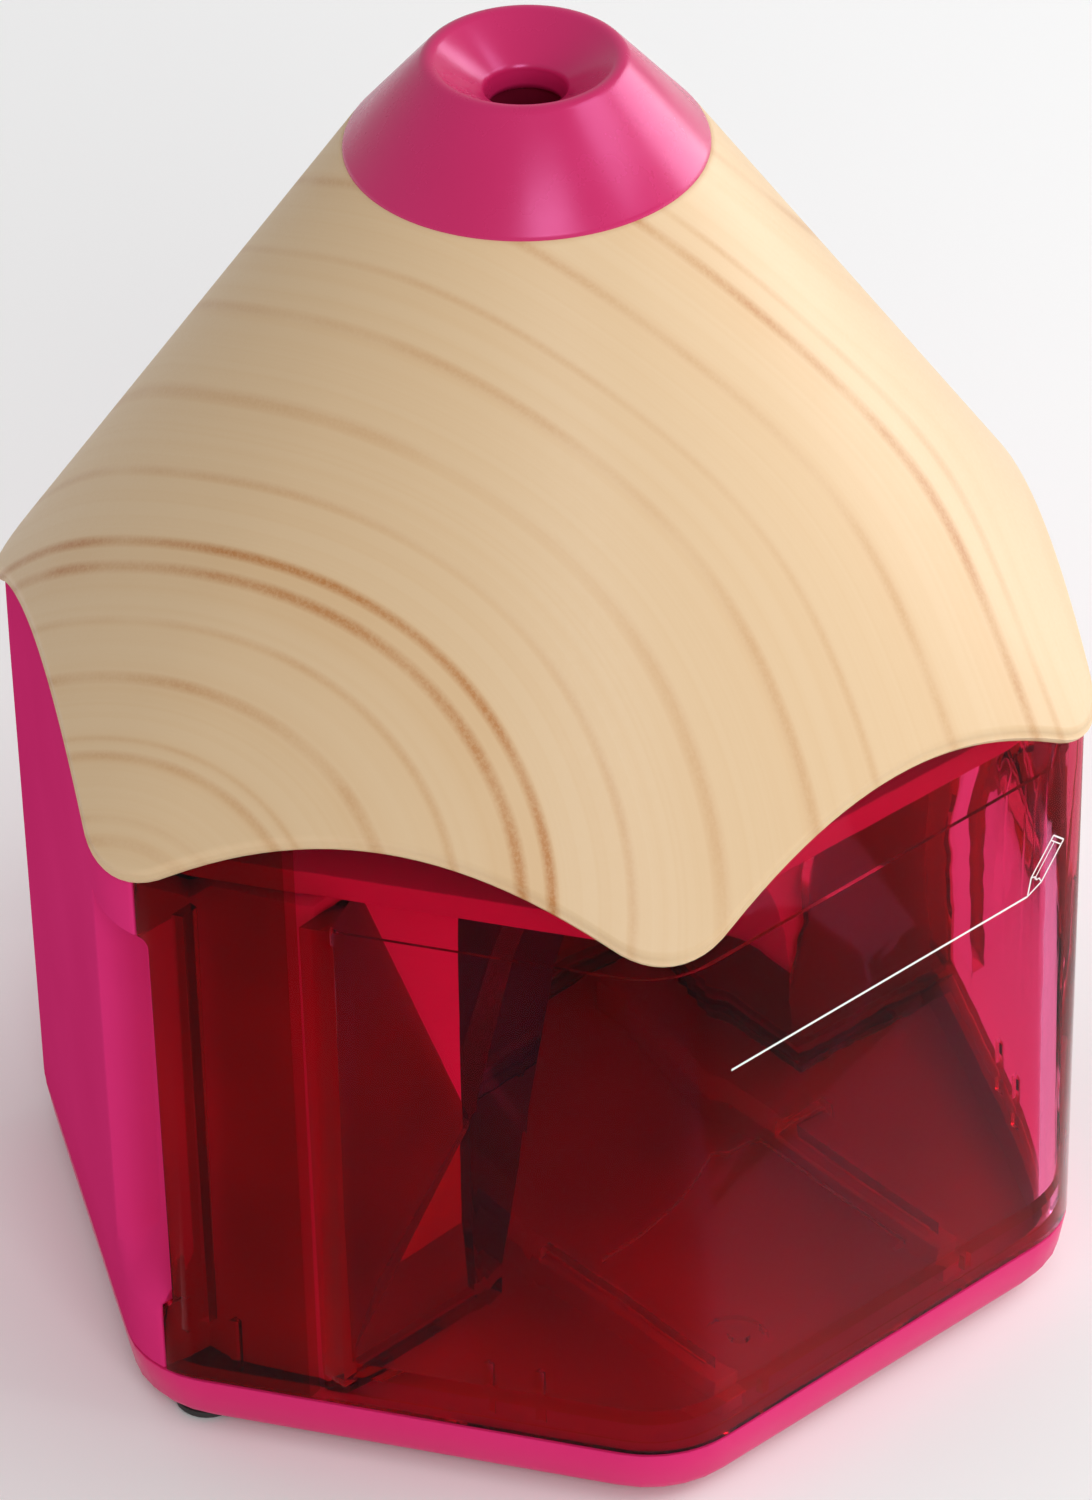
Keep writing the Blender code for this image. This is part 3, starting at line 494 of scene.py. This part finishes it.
def bin_shell(materials):
    end = math.asin(-BIN_END_Y / hexagon_radius(0.0, SHARP_SHOULDER))
    angles = [a for a in outline_angles() if math.pi + end + 0.01 < a < 2 * math.pi - end - 0.01]
    sections = []
    for angle in [math.pi + end] + angles + [2 * math.pi - end]:
        top = wall_top(angle)
        corners = [(WALLS_FROM, 0.0), (top, 0.0), (top, WALL), (WALLS_FROM, WALL)]
        ring = [polar(hexagon_radius(angle, body_sharp(z), inset), angle, z)
                for z, inset in corners]
        sections.append(ring[::-1])
    piece = skin("bin_shell", sections)
    tray = tray_solid("tray", WALLS_FROM, BIN_INNER_TOP, BIN_OVERLAP)
    above, below, depth = 62.0, 5.5, WALL + GAP
    cavity = tray_solid("cavity", BIN_FLOOR[1], above, depth)
    combine(tray, cavity, "DIFFERENCE", "MANIFOLD")
    skirt = tray_solid("skirt", below, BIN_FLOOR[0], depth)
    combine(tray, skirt, "DIFFERENCE", "MANIFOLD")
    combine(piece, tray, "UNION", "MANIFOLD")
    for detail in bin_details():
        combine(piece, detail, "UNION")
    for side in (-1, 1):
        combine(piece, finger_notch(side), "DIFFERENCE")
    soften(piece, 0.3)
    finish(piece, materials, "bin", "clear_red_plastic", "shavings_bin")
    # Painted shade: the floor takes a darker tint than the outer wall, and the tray's walls and
    # all faces behind the tray's back wall take a darker one still.
    in_outer, floor_painted_shade, tray_painted_shade = range(3)
    for face in piece.data.polygons:
        x, y, z = face.center / MM
        inset = hexagon_radius(math.atan2(y, x), body_sharp(z)) - math.hypot(x, y)
        inside = inset > WALL + 0.6
        if inside and z < BIN_FLOOR[1] + 2.0:
            face.material_index = floor_painted_shade
        else:
            face.material_index = tray_painted_shade if inside or y > BIN_BACK_Y else in_outer
    return piece


def finger_notch(side):
    """What is cut from the wall's end beside the housing's grip, rounded at its corners."""
    low, high = NOTCH_Z
    profile = rounded([(NOTCH_Y, low), (NOTCH_BACK_Y, low), (NOTCH_BACK_Y, high),
                       (NOTCH_Y, high)], [NOTCH_ROUND, 0, 0, NOTCH_ROUND], 5)
    ends = sorted(side * x for x in NOTCH_X)
    return skin("finger_notch", [[(x, y, z) for y, z in profile] for x in ends])


def bin_details():
    """Ridges, a raised panel and a boss on the floor, skirt ribs and the wall's ends."""
    floor_z, bite = BIN_FLOOR[1], 0.4
    for low, high, top in (((-18.0, -39.5), (-16.8, -17.6), 11.3),
                           ((9.8, -39.5), (11.2, -22.2), 11.4),
                           ((9.8, -23.4), (15.6, -22.2), 11.4),
                           ((-14.4, -38.5), (8.0, -22.0), 10.6)):
        yield box("floor_ridge", (*low, floor_z - bite), (*high, top))
    yield lathe("floor_boss", [(2.6, floor_z - bite), (2.6, 11.3), (2.2, 11.7), (1.0, 11.7),
                               (1.0, 11.0)], (-13.2, -38.6), 32)
    for x in (-13.3, 12.5):
        yield box("skirt_rib", (x - 0.4, -43.4, WALLS_FROM + 0.4), (x + 0.4, -41.0, 8.8))
    for side in (-1, 1):
        low, high = sorted((side * 42.2, side * 39.7))
        yield box("tray_corner", (low, BIN_BACK_Y - 4.2, floor_z - bite),
                  (high, BIN_BACK_Y - 1.6, BIN_INNER_TOP))
        for x, y in ((34.6, -27.1), (32.2, -31.2), (46.6, -6.5)):
            low, high = sorted((side * (x - 2.2), side * (x + 0.2)))
            yield box("skirt_rib", (low, y - 0.4, WALLS_FROM + 0.4), (high, y + 0.4, 12.6))
        low, high = sorted((side * 45.2, side * 48.9))
        yield box("grip_lip", (low, NOTCH_Y - 1.0, 12.0), (high, NOTCH_Y - 0.1, 57.4))


def white_print(material):
    """A thin line that ends in a small pencil outline, on the front face."""
    depth = 0.04

    def face_y(z):
        return -body_sharp(z) * math.cos(SIXTH / 2)

    def stroke(points, width):
        """A flat ribbon along points of (x, z), just proud of the front face."""
        made, faces = [], []
        for (x0, z0), (x1, z1) in zip(points, points[1:]):
            along = Vector((x1 - x0, z1 - z0)).normalized()
            side = Vector((-along.y, along.x)) * width / 2
            first = len(made)
            for x, z in ((x0, z0), (x1, z1)):
                for way in (-1, 1):
                    px, pz = x + side.x * way, z + side.y * way
                    made += [(px, face_y(pz) - 0.01, pz), (px, face_y(pz) - depth, pz)]
            # Corners: 0,1 start low; 2,3 start high; 4,5 end low; 6,7 end high.
            quads = [(1, 5, 7, 3), (0, 2, 6, 4), (0, 4, 5, 1), (2, 3, 7, 6), (0, 1, 3, 2),
                     (4, 6, 7, 5)]
            faces += [[first + i for i in quad] for quad in quads]
        return made, faces

    base, lean = Vector((17.4, 47.4)), Vector((0.64, 0.77))
    across = Vector((-lean.y, lean.x))

    def at(along, aside):
        point = base + lean * along + across * aside
        return (point.x, point.y)

    half, point_len, full = 0.85, 1.7, 6.0
    lines = [
        ([(-19.4, 47.4), (17.4, 47.4)], 0.22),
        ([at(0, 0), at(point_len, half), at(full, half), at(full, -half), at(point_len, -half),
          at(0, 0)], 0.16),
        ([at(point_len, half), at(point_len + 0.25, 0.3), at(point_len, 0),
          at(point_len + 0.25, -0.3), at(point_len, -half)], 0.12),
        ([at(point_len, 0.28), at(full - 0.5, 0.28)], 0.1),
        ([at(full - 0.5, -half), at(full - 0.5, half)], 0.12),
    ]
    for number, (points, width) in enumerate(lines, start=1):
        made, faces = stroke(points, width)
        piece = mesh_piece(f"print_line_{number}", made, faces)
        finish(piece, material, "bin", "printed_cone")


# ---- CAD nodes that stay ---------------------------------------------------
def dress_nodes(groups):
    """Better materials and softened edges for the CAD nodes that stay."""
    for material, names in groups:
        for name in names:
            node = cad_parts[name]
            node.data.materials.clear()
            node.data.materials.append(material)
            weld = node.modifiers.new("weld", "WELD")
            weld.merge_threshold = 0.00001
            node.data.shade_smooth()
            edges = node.modifiers.new("soft_edges", "BEVEL")
            edges.width, edges.segments = 0.12 * MM, 2
            edges.limit_method, edges.angle_limit = "ANGLE", math.radians(32)


# ---- floor and light -------------------------------------------------------
def make_stage():
    floor = box("floor", (-3000, -3000, -20.0), (3000, 3000, 0.0))
    pale = Shader("floor_white", Roughness=0.9)
    tone = pale.noise(pale.place(), 0.01, 2)
    pale.set("Base Color", pale.blend(tone, (0.93, 0.93, 0.93, 1), (0.95, 0.95, 0.95, 1)))
    floor.data.materials.append(pale.material)


def area_light(name, at, aim, size, power):
    data = bpy.data.lights.new(name, "AREA")
    data.shape, data.size, data.size_y = "RECTANGLE", size[0], size[1]
    data.energy = power
    light = bpy.data.objects.new(name, data)
    light.location = at
    light.rotation_euler = (Vector(at) - Vector(aim)).to_track_quat("Z", "Y").to_euler()
    bpy.context.scene.collection.objects.link(light)


def make_light():
    world = bpy.data.worlds.new("studio")
    world.use_nodes = True
    world.node_tree.nodes["Background"].inputs["Color"].default_value = (1, 1, 1, 1)
    world.node_tree.nodes["Background"].inputs["Strength"].default_value = 0.55
    bpy.context.scene.world = world
    middle = (0, 0, 0.05)
    area_light("key", (0.55, -0.75, 0.85), middle, (0.6, 0.6), 3.4)
    area_light("right_panel", (0.75, -0.15, 0.25), middle, (0.5, 0.6), 3.6)
    area_light("front_fill", (-0.5, -0.9, 0.6), middle, (0.5, 0.5), 4.0)
    bpy.context.scene.view_settings.view_transform = "Standard"


def build():
    pink = moulded("pink_plastic", (0.72, 0.028, 0.17), (0.68, 0.023, 0.152), 0.34,
                   Specular_IOR_Level=0.3, Specular_Tint=(1.0, 0.22, 0.55, 1.0))
    matte_pink = moulded("matte_pink", (0.72, 0.034, 0.19), (0.68, 0.029, 0.172), 0.5,
                         Specular_IOR_Level=0.0)
    # The pencil guide's pink is darkened: painted shade for the inside of the pencil hole.
    pink_painted_shade = moulded("pink_painted_shade", (0.26, 0.006, 0.035), (0.22, 0.005, 0.03), 0.5,
                        Specular_IOR_Level=0.1)
    glossy_pink = moulded("glossy_pink", (0.57, 0.017, 0.115), (0.54, 0.014, 0.10), 0.26,
                          Specular_IOR_Level=0.9, Specular_Tint=(1.0, 0.40, 0.85, 1.0))
    cream = moulded("acetal", (0.80, 0.77, 0.68), (0.74, 0.70, 0.60), 0.4)
    grey = moulded("grey_plastic", (0.16, 0.16, 0.17), (0.12, 0.12, 0.13), 0.45, 0.1)
    steel = moulded("steel", (0.62, 0.62, 0.64), (0.50, 0.50, 0.52), 0.28, 0.06, Metallic=1.0)
    brass = moulded("brass", (0.80, 0.58, 0.26), (0.62, 0.42, 0.16), 0.3, 0.06, Metallic=1.0)
    rubber = moulded("rubber", (0.035, 0.035, 0.035), (0.02, 0.02, 0.02), 0.75, 0.3)
    jacket = moulded("cell_jacket", (0.06, 0.07, 0.09), (0.04, 0.045, 0.06), 0.3, 0.03)
    white = moulded("white_ink", (0.90, 0.89, 0.88), (0.84, 0.83, 0.82), 0.45, 0.05)

    cone_cover(printed_wood())
    cap(glossy_pink)
    housing(matte_pink)
    # The floor's and the tray's tints are darker than the outer wall's: painted shade inside the
    # bin.
    bin_shell((clear_red("clear_red_plastic", (0.90, 0.19, 0.40), (0.87, 0.16, 0.36)),
               clear_red("clear_red_floor_painted_shade", (0.93, 0.045, 0.11), (0.64, 0.04, 0.09)),
               clear_red("clear_red_tray_painted_shade", (0.60, 0.012, 0.038), (0.38, 0.012, 0.03))))
    white_print(white)
    dress_nodes([
        (pink, ["base_plate", "battery_door_left", "battery_door_right"]),
        (matte_pink, ["gearbox_deck"]),
        (pink_painted_shade, ["pencil_guide"]),
        (cream, ["carrier_bush", "main_drive_gear", "idler_gear", "ring_gear",
                 "interlock_plunger"]),
        (grey, ["cutter_carrier", "switch_lever", "pencil_switch", "bin_switch"]),
        (steel, ["helical_cutter", "cutter_pinion", "cutter_axle", "idler_pin", "motor_can",
                 "motor_bracket", "motor_shaft", "lever_pin", "base_screw_left",
                 "base_screw_right", "deck_screw_left", "deck_screw_right"]),
        (brass, ["motor_pinion", "door_contact_left", "door_contact_right",
                 "top_contact_left", "top_contact_right"]),
        (rubber, [f"rubber_foot_{i}" for i in range(1, 5)]),
        (jacket, [f"battery_cell_{i}" for i in range(1, 5)]),
    ])


make_camera()
make_stage()
make_light()
build()
